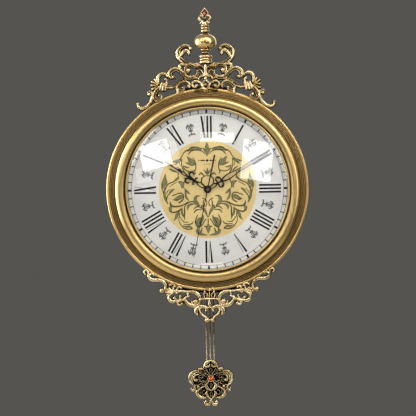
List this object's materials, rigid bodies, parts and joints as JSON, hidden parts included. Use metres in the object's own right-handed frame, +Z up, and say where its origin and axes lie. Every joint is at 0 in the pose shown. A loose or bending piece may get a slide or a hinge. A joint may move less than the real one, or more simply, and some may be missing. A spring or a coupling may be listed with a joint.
{
  "type": "pendulum wall clock",
  "caption": "Round wall clock with a moulded brass bezel, openwork crests above and below, a turned finial, a domed glass, Roman dial and a swinging pendulum on thin rods.",
  "frame": {"origin": "centre of the keyhole's round hole in the hanger plate, on the wall plane", "axes": "+Z up, +Y into the wall along the hook's axis, so the dial faces -Y, and +X to the viewer's right"},
  "size_m": [0.35, 0.0542, 0.6932],
  "materials": {
    "antique_brass": "satin antique brass with dark recesses",
    "crest_brass": "cast antique brass, blackened in the recesses",
    "polished_brass": "polished brass",
    "inner_ring_gold": "bright satin brass",
    "rod_bronze": "dark bronze",
    "housing_plastic": "matt black moulded plastic",
    "movement_plastic": "fine textured black plastic",
    "white_plastic": "natural acetal",
    "clear_glass": "clear polished glass",
    "seal_rubber": "soft black rubber",
    "dial_silver": "silvery white with a fine grain",
    "dial_champagne": "champagne gold with a fine grain",
    "hand_black": "gloss black enamel",
    "steel": "bright steel",
    "zinc_steel": "zinc plated steel",
    "gear_brass": "turned brass",
    "circuit_green": "solder resist",
    "component_black": "matt black",
    "copper_wire": "enamelled copper winding",
    "magnet_grey": "sintered grey",
    "cell_jacket": "printed plain cell jacket",
    "gem_amber": "amber red polished stone"
  },
  "bodies": {
    "case": {"bezel": "antique_brass", "rear_housing": "housing_plastic", "housing_back_ring": "housing_plastic", "case_brackets": "zinc_steel", "glass_dome": "clear_glass", "glass_gasket": "seal_rubber", "dial_spacer_ring": "inner_ring_gold", "dial_plate": "dial_silver", "dial_centre_disc": "dial_champagne", "case_screws": "zinc_steel", "hanger_plate": "zinc_steel", "hanger_screws": "zinc_steel", "wall_pads": "seal_rubber", "top_crest": "crest_brass", "bottom_crest": "crest_brass", "crest_screws": "zinc_steel", "finial_plinth": "antique_brass", "finial_neck": "antique_brass", "finial_ball": "polished_brass", "finial_collar": "antique_brass", "finial_rod": "zinc_steel", "finial_topper": "crest_brass", "finial_gem": "gem_amber", "movement_case": "movement_plastic", "movement_cover": "movement_plastic", "cover_screws": "zinc_steel", "movement_bush": "gear_brass", "bush_washer": "gear_brass", "bush_nut": "gear_brass", "dial_cushion": "seal_rubber", "middle_plate": "white_plastic", "circuit_board": "circuit_green", "board_parts": "component_black", "motor_coil": "copper_wire", "stator": "steel", "battery_contacts": "steel", "pendulum_coil": "copper_wire", "pivot_pin": "steel"},
    "minute": {"minute_hand": "hand_black", "minute_hand_nut": "gear_brass", "centre_wheel": "gear_brass"},
    "hour": {"hour_hand": "hand_black", "hour_wheel": "white_plastic"},
    "second": {"second_hand": "hand_black", "second_hand_cap": "polished_brass", "fourth_wheel": "white_plastic"},
    "third": {"third_wheel": "white_plastic"},
    "fifth": {"fifth_wheel": "white_plastic"},
    "motor_rotor": {"rotor": "magnet_grey"},
    "minute_idler": {"minute_wheel": "white_plastic"},
    "setting": {"setting_shaft": "white_plastic"},
    "pendulum": {"swing_arm": "white_plastic", "swing_magnet": "magnet_grey", "pendulum_hanger": "antique_brass", "pendulum_rods": "rod_bronze", "rod_clamp": "antique_brass", "pendulum_bob": "crest_brass", "gem_setting": "polished_brass", "bob_gem": "gem_amber"},
    "cell": {"battery": "cell_jacket"}
  },
  "joints": [
    {"name": "minute_turn", "type": "hinge", "parent": "case", "child": "minute", "pos_m": [0, -0.02, -0.126], "axis": [0, 1, 0], "continuous": true},
    {"name": "hour_turn", "type": "hinge", "parent": "case", "child": "hour", "pos_m": [0, -0.02, -0.126], "axis": [0, 1, 0], "continuous": true},
    {"name": "second_turn", "type": "hinge", "parent": "case", "child": "second", "pos_m": [0, -0.02, -0.126], "axis": [0, 1, 0], "continuous": true},
    {"name": "third_turn", "type": "hinge", "parent": "case", "child": "third", "pos_m": [0.01008, -0.02, -0.126], "axis": [0, 1, 0], "continuous": true},
    {"name": "fifth_turn", "type": "hinge", "parent": "case", "child": "fifth", "pos_m": [-0.0077, -0.02, -0.126], "axis": [0, 1, 0], "continuous": true},
    {"name": "rotor_turn", "type": "hinge", "parent": "case", "child": "motor_rotor", "pos_m": [-0.01447, -0.02, -0.12846], "axis": [0, 1, 0], "continuous": true},
    {"name": "idler_turn", "type": "hinge", "parent": "case", "child": "minute_idler", "pos_m": [0, -0.02, -0.1344], "axis": [0, 1, 0], "continuous": true},
    {"name": "setting_turn", "type": "hinge", "parent": "case", "child": "setting", "pos_m": [0, -0.02, -0.1428], "axis": [0, 1, 0], "continuous": true},
    {"name": "pendulum_swing", "type": "hinge", "parent": "case", "child": "pendulum", "pos_m": [0, -0.0065, -0.166], "axis": [0, 1, 0], "range_deg": [-5, 5]},
    {"name": "cell_slide", "type": "slide", "parent": "case", "child": "cell", "axis": [0, 1, 0], "range_m": [0, 0.025]}
  ],
  "couplings": [
    {"joint": "hour_turn", "follows": "minute_turn", "ratio": 0.083333},
    {"joint": "second_turn", "follows": "minute_turn", "ratio": 60},
    {"joint": "third_turn", "follows": "minute_turn", "ratio": -8},
    {"joint": "fifth_turn", "follows": "minute_turn", "ratio": -360},
    {"joint": "rotor_turn", "follows": "minute_turn", "ratio": 1800},
    {"joint": "idler_turn", "follows": "minute_turn", "ratio": -0.33333},
    {"joint": "setting_turn", "follows": "minute_turn", "ratio": 1}
  ]
}
